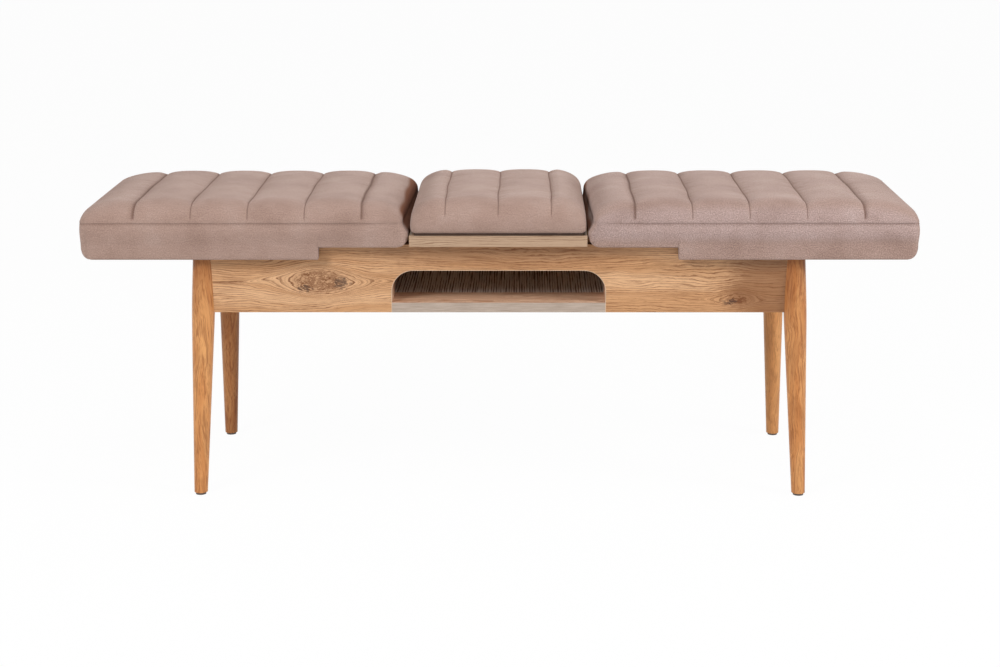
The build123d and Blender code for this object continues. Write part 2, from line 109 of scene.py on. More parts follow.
def linear(red, green, blue):
    """A screen colour of 0 to 255 as the linear values that shaders take."""
    share = np.array([red, green, blue]) / 255.0
    low = share / 12.92
    high = ((share + 0.055) / 1.055) ** 2.4
    return tuple(float(v) for v in np.where(share <= 0.04045, low, high))


def colour(name, description, red, green, blue):
    """A colour property with its default written as a screen colour."""
    return FloatVectorProperty(name=name, description=description, subtype="COLOR", size=3, min=0.0, max=1.0,
                               default=linear(red, green, blue))


def length(name, description, metres):
    """A length property in metres."""
    return FloatProperty(name=name, description=description, unit="LENGTH", default=metres, min=0.0,
                         precision=4)


def point(name, description, metres):
    """A place property in metres."""
    return FloatVectorProperty(name=name, description=description, subtype="TRANSLATION",
                               unit="LENGTH", size=3, default=metres)


def power(name, description, watts):
    """A lamp's power property in watts."""
    return FloatProperty(name=name, description=description, unit="POWER", default=watts)


class BenchFabric(bpy.types.PropertyGroup):
    """Sizes and colours of the upholstery."""

    body: colour("Fabric", "Main colour of the nap", 165, 138, 126)
    shade: colour("Brushed dark", "Nap brushed away from the light", 154, 127, 115)
    glow: colour("Brushed light", "Nap brushed towards the light", 174, 149, 138)
    # Painted shade: this colour darkens the cloth along the sewn seams and stands for the shade in their
    # grooves.
    painted_seam_shade: colour("Crease", "Depth of a sewn seam", 98, 68, 56)
    # Painted shade: this dark brown lies on the ends beside the leaf and stands for the shade in the gap
    # there. It is not a cloth of its own.
    painted_end_shade: colour("Lining", "Plain cloth on the ends beside the leaf", 132, 88, 67)
    thread: colour("Thread", "Sewing thread", 138, 112, 101)
    end_channel: length("End channel", "Width of the channel at the outer end", 0.092)
    inner_channel: length("Inner channel", "Width of the channel beside the leaf", 0.078)
    seams: IntProperty(name="Seams", description="Sewn seams in one seat half", default=5, min=1)
    leaf_channel: length("Leaf channel", "Distance between the seams of the leaf pad", 0.0885)
    seam_dip: length("Seam dip", "How far a sewn seam lies below its channels", 0.0075)
    end_roll: length("End roll", "Length of the rolled edge at the outer end", 0.09)
    inner_roll: length("Inner roll", "Length of the rolled edge beside the leaf", 0.077)
    front_roll: length("Front roll", "Depth of the rolled edge at the front", 0.044)
    rear_roll: length("Rear roll", "Depth of the rolled edge at the rear", 0.03)
    corner: length("Corner", "Radius of a seat half's corners in plan", 0.013)
    draw_in: length("Draw-in", "How far the end beside the leaf is pulled in at the band seam", 0.010)
    band_seam: length("Band seam", "Height of the seam between the top and its band", 0.4736)
    left_bulge: length("Left bulge", "Bulge of the left band under its seam", 0.0026)
    right_bulge: length("Right bulge", "Bulge of the right band under its seam", 0.0042)
    swell: length("Swell", "Most that the filling pushes a channel out", 0.0035)
    stitch: length("Stitch", "Length of one stitch", 0.0032)


class BenchWood(bpy.types.PropertyGroup):
    """Colours of the wooden parts."""

    oak_light: colour("Oak light", "Pale bands of the apron boards", 222, 177, 135)
    oak_body: colour("Oak", "Brown bands of the apron boards", 201, 152, 108)
    oak_dark: colour("Oak dark", "Dark grain lines of the apron boards", 112, 66, 36)
    leaf_light: colour("Leaf board light", "Pale bands of the leaf board", 182, 153, 127)
    leaf_dark: colour("Leaf board dark", "Grain lines of the leaf board", 134, 103, 78)
    # Painted light: the next two shelf colours are near white so the shelf lies brighter in the box's shade.
    # The wood itself is grey-brown.
    shelf_pale_with_painted_light: colour("Shelf light", "Pale streaks of the shelf board", 248, 242, 237)
    shelf_band_with_painted_light: colour("Shelf dark", "Brown bands of the shelf board", 240, 231, 225)
    shelf_streak: colour("Shelf streak", "Dark streaks of the shelf board", 128, 104, 92)
    strip_light: colour("Shelf strip light", "Pale grain of the shelf's front strip", 240, 204, 174)
    strip_dark: colour("Shelf strip dark", "Brown grain of the shelf's front strip", 190, 140, 108)
    shelf_edge: colour("Shelf edge", "Edge strip of the shelf board", 184, 167, 153)
    leg_light: colour("Leg light", "Pale streaks of the legs", 221, 160, 101)
    leg_body: colour("Leg", "Main colour of the legs", 203, 136, 79)
    leg_dark: colour("Leg dark", "Flecks and pores of the legs", 128, 68, 30)


class BenchStage(bpy.types.PropertyGroup):
    """Camera place and lamp powers of the studio."""

    camera_place: point("Camera place", "Where the camera stands", (0.044, -3.240, 1.0675))
    camera_aim: point("Camera aim", "Point in the middle of the picture", (0.0026, -0.175, 0.2853))
    camera_roll: FloatProperty(name="Camera roll", description="Turn of the camera about its own view line",
                               subtype="ANGLE", unit="ROTATION", default=-0.003)
    lens: FloatProperty(name="Lens", description="Focal length on a 36 mm wide sensor", unit="CAMERA",
                        default=67.6)
    left_power: power("Left lamp", "Power of the soft lamp at front left", 70.0)
    right_power: power("Right lamp", "Power of the soft lamp at the right", 50.0)
    top_power: power("Top lamp", "Power of the soft lamp overhead", 25.0)
    room_light: FloatProperty(name="Room light", description="Strength of the even light of the room",
                              default=0.25, min=0.0)


class Value:
    """A node's output that sums can be written with, such as 1.0 - value * 0.5."""

    def __init__(self, tree, socket):
        self.tree = tree
        self.socket = socket

    def __add__(self, other):
        return self.tree.math("ADD", self, other)

    def __sub__(self, other):
        return self.tree.math("SUBTRACT", self, other)

    def __rsub__(self, other):
        return self.tree.math("SUBTRACT", other, self)

    def __mul__(self, other):
        return self.tree.math("MULTIPLY", self, other)

    def __truediv__(self, other):
        return self.tree.math("DIVIDE", self, other)


class NodeTree:
    """The nodes of a material or a world: adds nodes, sets their values and links their sockets."""

    def __init__(self, owner):
        owner.use_nodes = True
        self.nodes = owner.node_tree.nodes
        self.links = owner.node_tree.links

    def put(self, value, socket):
        """Links a value or another socket to a socket, or sets it to a plain value."""
        source = value.socket if isinstance(value, Value) else value
        if isinstance(source, bpy.types.NodeSocket):
            self.links.new(source, socket)
        else:
            socket.default_value = source

    def add(self, kind, inputs=None, **settings):
        """A node with its settings made and each input given a value or a link."""
        node = self.nodes.new(kind)
        for key, value in settings.items():
            setattr(node, key, value)
        for key, value in (inputs or {}).items():
            self.put(value, node.inputs[key])
        return node

    def math(self, operation, first, second=0.0):
        """The result of one sum."""
        node = self.add("ShaderNodeMath", {0: first, 1: second}, operation=operation)
        return Value(self, node.outputs[0])


class FinishTree(NodeTree):
    """One procedural material being built round its shader."""

    def __init__(self, name, **shader_values):
        self.material = bpy.data.materials.new(name)
        super().__init__(self.material)
        self.shader = self.nodes["Principled BSDF"]
        for socket, value in shader_values.items():
            self.shader.inputs[socket.replace("_", " ")].default_value = value

    def places(self, kind="Object"):
        """The x, y and z of the chosen texture coordinate."""
        node = self.add("ShaderNodeTexCoord")
        split = self.add("ShaderNodeSeparateXYZ", {"Vector": node.outputs[kind]})
        return [Value(self, split.outputs[axis]) for axis in "XYZ"]

    def attribute(self, name):
        """A named share that the mesh holds at its points."""
        return Value(self, self.add("ShaderNodeAttribute", attribute_name=name).outputs["Fac"])

    def noise(self, place, scales, detail=3.0, roughness=0.55):
        """Smooth noise of 0 to 1 with its own number of blobs to the metre along each axis."""
        spread = {axis: self.math("MULTIPLY", v, s) for axis, v, s in zip("XYZ", place, scales)}
        vector = self.add("ShaderNodeCombineXYZ", spread).outputs[0]
        inputs = {"Vector": vector, "Scale": 1.0, "Detail": detail, "Roughness": roughness}
        return Value(self, self.add("ShaderNodeTexNoise", inputs).outputs["Fac"])

    def step(self, value, low, high, most=1.0):
        """0 below low, the most above high and a smooth slope between."""
        inputs = {"Value": value, "From Min": low, "From Max": high, "To Max": most}
        node = self.add("ShaderNodeMapRange", inputs, interpolation_type="SMOOTHSTEP")
        return Value(self, node.outputs["Result"])

    def blend(self, share, first, second, mode="MIX"):
        """Two colours mixed by a share of 0 to 1."""
        node = self.add("ShaderNodeMix", data_type="RGBA", blend_type=mode)
        sockets = {socket.identifier: socket for socket in node.inputs}
        self.put(share, sockets["Factor_Float"])
        for name, tone in (("A_Color", first), ("B_Color", second)):
            self.put(tone if isinstance(tone, Value) else (*tone, 1.0), sockets[name])
        return Value(self, next(s for s in node.outputs if s.identifier == "Result_Color"))

    def finish(self, base, roughness, height, relief):
        """Gives the shader its colour, roughness and a bump of the given height in metres."""
        bump = self.add("ShaderNodeBump", {"Height": height, "Strength": 0.8, "Distance": relief})
        values = {"Base Color": base, "Roughness": roughness, "Normal": bump.outputs["Normal"]}
        for socket, value in values.items():
            self.put(value, self.shader.inputs[socket])
        return self.material


def fabric_finish(name, fabric, grit, tint=(1.0, 1.0, 1.0), brushed=(1.0, 1.0, 1.0)):
    """Brushed chenille: cloudy nap, fine slubs along the weft, a small weave, dark creases and dull lining.

    The brushed tint lies on the rolls of the front and rear, where the nap turns another way.
    """
    tree = FinishTree(name, Sheen_Roughness=0.5, Sheen_Tint=(0.86, 0.71, 0.66, 1.0), Specular_IOR_Level=0.2)
    u, v, _ = tree.places("UV")
    place = tree.places()
    _, facing, _ = tree.places("Normal")
    clouds = tree.noise(place, (13.0, 17.0, 13.0), detail=5.0)
    mottle = tree.noise((u, v, 0.0), (330.0, 420.0, 1.0), roughness=0.65)
    slubs = tree.noise((u, v, 0.0), (45.0, 800.0, 1.0), detail=2.0)
    grain = tree.noise((u, v, 0.0), (520.0, 520.0, 1.0), roughness=0.75)
    weave = tree.math("SINE", u * 4300.0) * tree.math("SINE", v * 4300.0)
    tone = mottle * 0.3 + clouds * 0.7
    cloth = tree.blend(tree.step(tone, 0.36, 0.52), fabric.shade, fabric.body)
    cloth = tree.blend(tree.step(tone, 0.5, 0.68), cloth, fabric.glow)
    threads = tree.blend(tree.step(slubs, 0.3, 0.72), (0.93, 0.92, 0.915), (1.03, 1.03, 1.03))
    specks = tree.blend(tree.step(grain, 0.34, 0.66), [1.0 - 0.14 * grit] * 3, [1.0 + 0.11 * grit] * 3)
    # Painted highlight: cloth that faces front or rear above 0.437 m is multiplied by the brushed tint.
    rolled = tree.step(tree.math("ABSOLUTE", facing), 0.4, 0.9) * tree.step(place[2], 0.437, 0.455)
    for share, layer in ((1.0, threads), (1.0, specks), (1.0, tint), (rolled, brushed)):
        cloth = tree.blend(share, cloth, layer, "MULTIPLY")
    # Painted shade: the crease share darkens the cloth towards the crease colour along the seams. Both shares
    # lower the sheen.
    painted_seam_shade = tree.attribute("painted_seam_shade")
    # Painted shade: the lining share turns the cloth dark brown and dull on the ends beside the leaf.
    painted_end_shade = tree.attribute("painted_end_shade")
    base = tree.blend(painted_end_shade, tree.blend(painted_seam_shade, cloth, fabric.painted_seam_shade), fabric.painted_end_shade)
    sheen = (1.0 - tree.math("MAXIMUM", painted_seam_shade, painted_end_shade)) * 0.42
    tree.put(sheen, tree.shader.inputs["Sheen Weight"])
    return tree.finish(base, 0.92, weave * 0.3 + mottle + slubs, 0.0004)


def grain_across(tree, along, across, knots):
    """Distance across the grain, with the lines led round each knot.

    For a knot at (a, c), off = across - c and field = off^2 - size^2 exp(-((along - a) / reach)^2). Outside
    the knot a line moves by sign(off) root(field) - off, and inside it by -root(-field) - off.
    """
    lines = across
    for place, level, size, reach in knots:
        off = across - level
        run = (along - place) / reach
        field = off * off - tree.math("EXPONENT", run * run * -1.0) * (size * size)
        root = tree.math("SQRT", tree.math("ABSOLUTE", field) + 1.0e-7)
        side = (tree.math("SIGN", off) + 1.0) * tree.math("GREATER_THAN", field, 0.0) - 1.0
        lines = lines + (root * side - off)
    return lines


def spot_share(tree, along, across, spot):
    """1 in the middle of an oval spot (place, level, half length, half height) and 0 outside it."""
    place, level, wide, high = spot
    run = (along - place) / wide
    off = (across - level) / high
    return 1.0 - tree.step(run * run + off * off, 0.15, 1.1)


def oak_finish(name, light, body, dark, axes="XZY", knots=(), spots=(), brown_areas_and_painted_shade=()):
    """Oak decor: pale and brown bands, broken growth lines that part round knots, fibres and pores.

    A growth line is the rising part of the fraction of (distance across the grain * 230 + a fine burr).
    Knots hold dense rings, spots are ragged and nearly black, and shades are wide brown areas.
    """
    tree = FinishTree(name, Specular_IOR_Level=0.25)
    place = dict(zip("XYZ", tree.places()))
    along, across, deep = (place[axis] for axis in axes)
    swirl = tree.noise((along, across, deep), (4.0, 18.0, 9.0))
    burr = tree.noise((along, across, deep), (120.0, 300.0, 120.0))
    shake = tree.noise((across, along, deep), (170.0, 90.0, 60.0), detail=4.0, roughness=0.65)
    torn = (along + (shake - 0.5) * 0.05, across + (burr - 0.5) * 0.02)
    lines = grain_across(tree, along, across, knots) + (swirl - 0.5) * 0.042
    hearts = [spot_share(tree, *torn, (p, c, reach * 0.82, size * 0.92)) for p, c, size, reach in knots]
    for heart in hearts:
        lines = lines + (burr - 0.5) * 0.008 * heart
    drawn_out = (along, lines, deep)
    bands = tree.noise(drawn_out, (2.2, 30.0, 12.0))
    patch = tree.noise(drawn_out, (7.0, 55.0, 20.0), detail=2.0)
    strokes = tree.noise(drawn_out, (60.0, 700.0, 300.0), detail=2.0)
    fibres = tree.noise(drawn_out, (14.0, 900.0, 500.0), roughness=0.7)
    pores = tree.noise(drawn_out, (75.0, 1300.0, 700.0), detail=1.0)
    tooth = tree.math("FRACT", lines * 230.0 + burr * 0.5)
    rings = tree.math("FRACT", lines * 260.0 + shake * 2.6)
    shown = tree.step(patch, 0.28, 0.6)
    for p, c, size, reach in knots:
        halo = spot_share(tree, along, across, (p, c, reach * 2.3, size * 1.9))
        shown = tree.math("MAXIMUM", shown, halo)
    broken = tree.step(strokes, 0.36, 0.6, 0.65) + 0.35
    line = tree.step(tooth, 0.45, 0.92) * (1.0 - tree.step(tooth, 0.92, 1.0)) * broken * shown
    # Painted shade and brown wood: each wide area darkens towards the dark colour by its share.
    browns_and_painted_shade = [spot_share(tree, *torn, area) * share for *area, share in brown_areas_and_painted_shade]
    browns_and_painted_shade += [line * 0.9, tree.step(fibres, 0.47, 0.68, 0.62), tree.step(pores, 0.62, 0.74, 0.5)]
    ring = tree.step(rings, 0.35, 0.8, 0.6) + 0.16
    browns_and_painted_shade += [heart * ring for heart in hearts]
    base = tree.blend(tree.step(bands, 0.36, 0.64), body, light)
    for brown in browns_and_painted_shade:
        base = tree.blend(brown, base, dark)
    for spot in spots:
        ragged = spot_share(tree, *torn, spot) * tree.step(rings, 0.1, 0.5, 0.75)
        base = tree.blend(ragged, base, linear(72, 52, 44))
    for heart in hearts:
        line = tree.math("MAXIMUM", line, heart * ring)
    return tree.finish(base, line * 0.15 + 0.46, (fibres + line) * -0.6, 0.0002)


def shelf_finish(name, wood):
    """Grey-brown shelf board: streaks from front to back and a front strip with its grain along X.

    The streaks are noise drawn out along Y on a faint sine over X. The front edge and the underside are
    plain and pale.
    """
    tree = FinishTree(name, Specular_IOR_Level=0.4)
    place = tree.places()
    x, y, z = place
    _, facing, rising = tree.places("Normal")
    wave = tree.math("SINE", x * 1400.0 + tree.noise(place, (9.0, 3.0, 9.0), detail=2.0) * 6.0)
    rough = tree.noise(place, (300.0, 4.5, 60.0), detail=4.0, roughness=0.7)
    bands = tree.noise(place, (30.0, 1.5, 30.0), detail=2.0)
    swirl = tree.noise(place, (7.0, 22.0, 9.0))
    grain = tree.noise((x, y + swirl * 0.06, z), (9.0, 240.0, 60.0), detail=4.0, roughness=0.7)
    specks = tree.noise(place, (26.0, 60.0, 900.0))
    # Painted light: behind the front strip the board is nearly white, far paler than grey-brown wood, to
    # brighten the shelf in the shade inside the box.
    base = tree.blend(tree.step(bands, 0.34, 0.66), wood.shelf_band_with_painted_light, wood.shelf_pale_with_painted_light)
    base = tree.blend(tree.step(wave * 0.08 + rough, 0.47, 0.62, 0.95), base, wood.shelf_streak)
    strip = tree.blend(tree.step(grain, 0.34, 0.66), wood.strip_light, wood.strip_dark)
    base = tree.blend(1.0 - tree.step(y, -0.078, -0.066), base, strip)
    edge = tree.blend(tree.step(specks, 0.36, 0.66), wood.shelf_edge, linear(160, 143, 129))
    plain = tree.step(tree.math("MINIMUM", facing, rising) * -1.0, 0.6, 0.8)
    return tree.finish(tree.blend(plain, base, edge), rough * 0.2 + 0.38, rough, 0.0002)


def leg_finish(name, wood, tone, share):
    """Lacquered solid wood: streaks down the leg, wavy bands, short flecks and the leg's own tone."""
    tree = FinishTree(name, Specular_IOR_Level=0.25, Coat_Weight=0.05, Coat_Roughness=0.3)
    place = tree.places()
    x, y, z = place
    shifted = (x + tree.noise(place, (9.0, 9.0, 5.0)) * 0.05, y, z)
    bands = tree.noise(shifted, (75.0, 75.0, 4.0))
    streaks = tree.noise(shifted, (330.0, 330.0, 6.0), roughness=0.65)
    flecks = tree.noise(shifted, (760.0, 760.0, 48.0), detail=2.0)
    clouds = tree.noise(place, (30.0, 30.0, 14.0))
    base = tree.blend(tree.step(bands, 0.36, 0.64), wood.leg_body, wood.leg_light)
    # Painted shade: the last step darkens the leg towards its top, from 0.24 to 0.44 m, where the skirt
    # shades it.
    for value, low, high, most in ((clouds, 0.45, 0.7, 0.3), (streaks, 0.47, 0.64, 0.62),
                                   (flecks, 0.54, 0.66, 0.42), (z, 0.24, 0.44, 0.5)):
        base = tree.blend(tree.step(value, low, high, most), base, wood.leg_dark)
    return tree.finish(tree.blend(share, base, tone), streaks * 0.2 + 0.3, streaks, 0.0002)


def plain_wood_finish(name, light, dark):
    """Unfinished wood of the inner frame: soft bands and fine fibres along X."""
    tree = FinishTree(name)
    place = tree.places()
    bands = tree.noise(place, (4.0, 160.0, 160.0))
    fine = tree.noise(place, (20.0, 800.0, 800.0), detail=2.0)
    base = tree.blend(tree.step(bands, 0.3, 0.7), dark, light)
    return tree.finish(tree.blend(tree.step(fine, 0.45, 0.8, 0.35), base, dark), 0.75, fine, 0.0002)


def chip_board_finish(name, light, dark):
    """Pressed board: pale chips of many sizes in a brown ground."""
    tree = FinishTree(name)
    place = tree.places()
    chips = tree.noise(place, (320.0, 320.0, 700.0), detail=4.0, roughness=0.7)
    clouds = tree.noise(place, (22.0, 22.0, 60.0), detail=2.0)
    base = tree.blend(tree.step(chips, 0.38, 0.64), dark, light)
    return tree.finish(tree.blend(tree.step(clouds, 0.5, 0.8, 0.3), base, dark), 0.85, chips, 0.0004)


def steel_finish(name):
    """Zinc-plated steel: bright, with a cloudy roughness and faint yellow tarnish."""
    tree = FinishTree(name, Metallic=1.0)
    clouds = tree.noise(tree.places(), (120.0, 120.0, 120.0), detail=4.0)
    base = tree.blend(tree.step(clouds, 0.3, 0.7), linear(196, 196, 192), linear(176, 170, 156))
    return tree.finish(base, clouds * 0.25 + 0.2, clouds, 0.0001)


def moulded_finish(name, light, dark, roughness=0.5):
    """Moulded plastic: even colour with a fine grained surface."""
    tree = FinishTree(name)
    place = tree.places()
    grain = tree.noise(place, (1500.0, 1500.0, 1500.0), detail=2.0)
    clouds = tree.noise(place, (60.0, 60.0, 60.0), detail=2.0)
    return tree.finish(tree.blend(tree.step(clouds, 0.3, 0.7), dark, light), roughness, grain, 0.0001)


Pad = namedtuple("Pad", "low high depth seam_z top low_roll high_roll front_roll rear_roll "
                        "corner seams tuck fade dip")
Pad.__doc__ = ("A channelled pad: its ends along X, half depth, heights, rolled edges, corner radius, seams, "
               "lower rows as (inset, height), and how its seams fade and dip.")

Half = namedtuple("Half", "side low high depth bottom top sign board_low board_top notch")
Half.__doc__ = ("A seat half: ends along X, half depth, heights, the sign of its outer end, its board's "
                "heights, and the place along X where the notch beside the leaf begins.")


def seat_half(side):
    """One seat half's sizes, from its CAD cover, board and front skirt."""
    low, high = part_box(f"{side}_seat_cover")
    board_low, board_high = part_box(f"{side}_seat_board")
    skirt_low, skirt_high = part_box(f"{side}_front_skirt")
    sign = -1.0 if side == "left" else 1.0
    notch = skirt_high.x + NOTCH_GAP if sign < 0 else skirt_low.x - NOTCH_GAP
    return Half(side, low.x, high.x, high.y, low.z, high.z, sign, board_low.z, board_high.z, notch)


def roll_steps(roll):
    """Distances from an edge at 12 equal steps of angle over a quarter ellipse: roll * (1 - cos angle)."""
    return roll * (1.0 - np.cos(np.linspace(0.0, math.pi / 2.0, 13)))


def rise_curve(share):
    """Quarter-ellipse rise over a rolled edge: root of 1 - (1 - share)^2, and 1 past the roll."""
    return np.sqrt(1.0 - (1.0 - np.clip(share, 0.0, 1.0)) ** 2)


def end_rise(share):
    """Rise over a rolled end, steep and then nearly straight: 0.3 quarter ellipse + 0.7 share^0.26."""
    return 0.3 * rise_curve(share) + 0.7 * np.clip(share, 0.0, 1.0) ** 0.26


def smooth(share):
    """Smooth step from 0 to 1: 3 s^2 - 2 s^3."""
    s = np.clip(share, 0.0, 1.0)
    return s * s * (3.0 - 2.0 * s)


def unit(vectors):
    """Vectors of length 1 along the last axis."""
    return vectors / np.linalg.norm(vectors, axis=-1, keepdims=True)


def path_lengths(line):
    """Distance run along a line of points."""
    return np.concatenate([[0.0], np.cumsum(np.linalg.norm(np.diff(line, axis=0), axis=1))])


def pad_columns(pad):
    """Places along X: rolled ends at equal angles, channels with columns gathered at the seams."""
    stops = list(pad.seams)
    if stops[0] - pad.low - pad.low_roll > SHORT_RUN:
        stops.insert(0, pad.low + pad.low_roll)
    if pad.high - pad.high_roll - stops[-1] > SHORT_RUN:
        stops.append(pad.high - pad.high_roll)
    runs = [pad.low + roll_steps(stops[0] - pad.low)[:-1]]
    for start, stop in zip(stops, stops[1:]):
        t = np.linspace(0.0, 1.0, max(4, round((stop - start) / COLUMN_GAP)) + 1)[:-1]
        runs.append(start + (stop - start) * (0.2 * t + 0.4 * (1.0 - np.cos(math.pi * t))))
    runs.append((pad.high - roll_steps(pad.high - stops[-1]))[::-1])
    return np.concatenate(runs)


def pad_rows(pad):
    """Places along Y: the front and rear rolls at equal angles and even rows between them."""
    front = -pad.depth + roll_steps(pad.front_roll)
    rear = (pad.depth - roll_steps(pad.rear_roll))[::-1]
    flat = np.linspace(front[-1], rear[0], max(4, round((rear[0] - front[-1]) / ROW_GAP)) + 1)[1:-1]
    return np.concatenate([front, flat, rear])


def seam_share(pad, x):
    """1 in a seam and 0 along a channel's middle: 1 - (1 - t^2.6)^0.6, t over the channel's half width.

    The two end channels have a seam on one side only, so t stays 0 towards the pad's ends.
    """
    stops = np.array([pad.low, *pad.seams, pad.high])
    last = len(stops) - 2
    k = np.clip(np.searchsorted(stops, x, side="right") - 1, 0, last)
    t = (2.0 * x - stops[k] - stops[k + 1]) / (stops[k + 1] - stops[k])
    t = np.where(k == 0, np.clip(t, 0.0, 1.0), t)
    t = np.where(k == last, np.clip(t, -1.0, 0.0), t)
    return 1.0 - np.clip(1.0 - np.abs(t) ** 2.6, 0.0, 1.0) ** 0.6


def seam_shown(pad, front_gap):
    """How much of a seam shows up the front roll: 0 to a rise of pad.fade, then 1 within 0.2 of the rise."""
    return smooth((rise_curve(front_gap / pad.front_roll) - pad.fade) / 0.2)


def pad_surface(pad, seed):
    """Top of a pad over columns x and rows y.

    z = seam height + (rise + crown (1 - (y / depth)^2)) * the rises over both ends and both sides. Then
    each point moves along the normal by the seam dip, less towards the sides, with small puckers beside the
    seams, a sum of four sines over y, and along X by a slow sway of the seam line.
    """
    x = pad_columns(pad)[:, None]
    row = pad_rows(pad)[None, :]
    to_end = np.minimum(x - pad.low, pad.high - x)
    cut = np.clip(pad.corner - to_end, 0.0, pad.corner)
    half = pad.depth - pad.corner + np.sqrt(pad.corner ** 2 - cut ** 2)
    y = row * half / pad.depth
    front_gap, rear_gap = pad.depth + row, pad.depth - row
    ends = end_rise((x - pad.low) / pad.low_roll) * end_rise((pad.high - x) / pad.high_roll)
    sides = rise_curve(front_gap / pad.front_roll) * rise_curve(rear_gap / pad.rear_roll)
    rise = pad.top - pad.seam_z + CROWN * (1.0 - (row / pad.depth) ** 2)
    z = pad.seam_z + rise * ends * sides
    points = np.stack(np.broadcast_arrays(x, y, z), axis=2)
    dip = seam_share(pad, x)
    flat = np.clip(np.minimum(front_gap / pad.front_roll, rear_gap / pad.rear_roll), 0.0, 1.0)
    random = np.random.default_rng(seed)
    pull = np.zeros_like(z)
    for wave in (0.009, 0.014, 0.023, 0.041):
        drift = np.cumsum(random.normal(0.0, 0.12, x.shape), axis=0)
        pull = pull + np.sin(row * 2.0 * math.pi / wave + random.uniform(0.0, 6.28) + drift) / 4.0
    puckers = PUCKER * pull * dip * (1.0 - dip) * 4.0 * flat
    depth = pad.dip * (0.35 + 0.65 * smooth(flat)) * (0.25 + 0.75 * seam_shown(pad, front_gap))
    normals = unit(np.cross(np.gradient(points, axis=0), np.gradient(points, axis=1)))
    points = points + normals * (puckers - depth * dip)[..., None]
    nearest = np.abs(x - np.array(pad.seams)).argmin(axis=1)[:, None]
    slow = np.sin(row * 21.0 + nearest * 2.1 + seed) + 0.6 * np.sin(row * 47.0 + nearest * 3.7 + seed)
    points[..., 0] += SWAY * slow * dip * flat
    return points


def end_gap(points, half):
    """Distance along X from a seat half's end beside the leaf."""
    return (half.high - points[..., 0]) if half.sign < 0 else (points[..., 0] - half.low)


def drawn_in(points, half, fabric):
    """Points of a seat half with the end beside the leaf pulled in.

    The pull is the draw-in * (1 - distance from the end / inner roll)^2, more at the front than at the
    rear, and fades out over the 20 mm below the band seam.
    """
    share = np.clip(1.0 - end_gap(points, half) / fabric.inner_roll, 0.0, 1.0) ** 2
    level = smooth((points[..., 2] - fabric.band_seam + 0.02) / 0.02)
    pull = fabric.draw_in * share * level * (0.55 - 0.45 * points[..., 1] / half.depth)
    moved = points.copy()
    moved[..., 0] += half.sign * pull
    return moved


def painted_end_shade_share(points, half):
    """1 on the lined end beside the leaf, a strip with a slow wave, fading to 0 at the front and the rear."""
    y = points[..., 1]
    edge = PAINTED_END_SHADE_WIDTH[half.side] + 0.0012 * np.sin(45.0 * y + 1.0)
    sides = smooth((y + half.depth - 0.006) / 0.03) * smooth((half.depth - y) / 0.008)
    return smooth((edge - end_gap(points, half)) / 0.006) * sides


def seam_kept(points, half):
    """How much of the band seam shows: 0 within 25 mm of the end beside the leaf, 1 from 75 mm on."""
    return smooth((end_gap(points, half) - 0.025) / 0.05)


def grid_faces(columns, rows):
    """Quads of a grid whose vertices run row by row within each column, facing up for rising x and y."""
    index = np.arange(columns * rows).reshape(columns, rows)
    corners = (index[:-1, :-1], index[1:, :-1], index[1:, 1:], index[:-1, 1:])
    return np.stack(corners, axis=2).reshape(-1, 4)


def border_loop(columns, rows):
    """Indices round a grid's border, anticlockwise seen from above, from the low front corner."""
    index = np.arange(columns * rows).reshape(columns, rows)
    return np.concatenate([index[:-1, 0], index[-1, :-1], index[:0:-1, -1], index[0, :0:-1]])


def ring_faces(first, second):
    """Quads between two closed rings of indices, the first one lower, facing outwards."""
    return np.stack([first, np.roll(first, -1), np.roll(second, -1), second], axis=1)


def plan_normals(ring):
    """Outward unit normals in plan along a closed anticlockwise ring of points."""
    run = np.roll(ring, -1, axis=0) - np.roll(ring, 1, axis=0)
    return unit(np.stack([run[:, 1], -run[:, 0]], axis=1))


def new_piece(name, body, points, faces, material, shares=None, uv=None):
    """A mesh object of cloth or thread that rides on a body, with its named shares and UVs."""
    mesh = bpy.data.meshes.new(name)
    mesh.from_pydata(points.tolist(), [], faces)
    mesh.polygons.foreach_set("use_smooth", np.ones(len(mesh.polygons), dtype=bool))
    for key, share in (shares or {}).items():
        layer = mesh.attributes.new(key, "FLOAT", "POINT")
        layer.data.foreach_set("value", share.ravel().astype(np.float32))
    if uv is not None:
        corner = np.empty(len(mesh.loops), dtype=np.int32)
        mesh.loops.foreach_get("vertex_index", corner)
        mesh.uv_layers.new(name="cloth").data.foreach_set("uv", uv[corner].astype(np.float32).ravel())
    mesh.materials.append(material)
    mesh.update()
    piece = placed(name, mesh)
    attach(piece, body)
    return piece


def cubic_midpoints(points, axis):
    """Points with new ones between along an axis: (9 (b + c) - a - d) / 16 of the nearest four."""
    p = np.moveaxis(points, axis, 0)
    wide = np.concatenate([2.0 * p[:1] - p[1:2], p, 2.0 * p[-1:] - p[-2:-1]])
    out = np.empty((2 * len(p) - 1, *p.shape[1:]))
    out[::2] = p
    out[1::2] = (9.0 * (wide[1:-2] + wide[2:-1]) - wide[:-3] - wide[3:]) / 16.0
    return np.moveaxis(out, 0, axis)


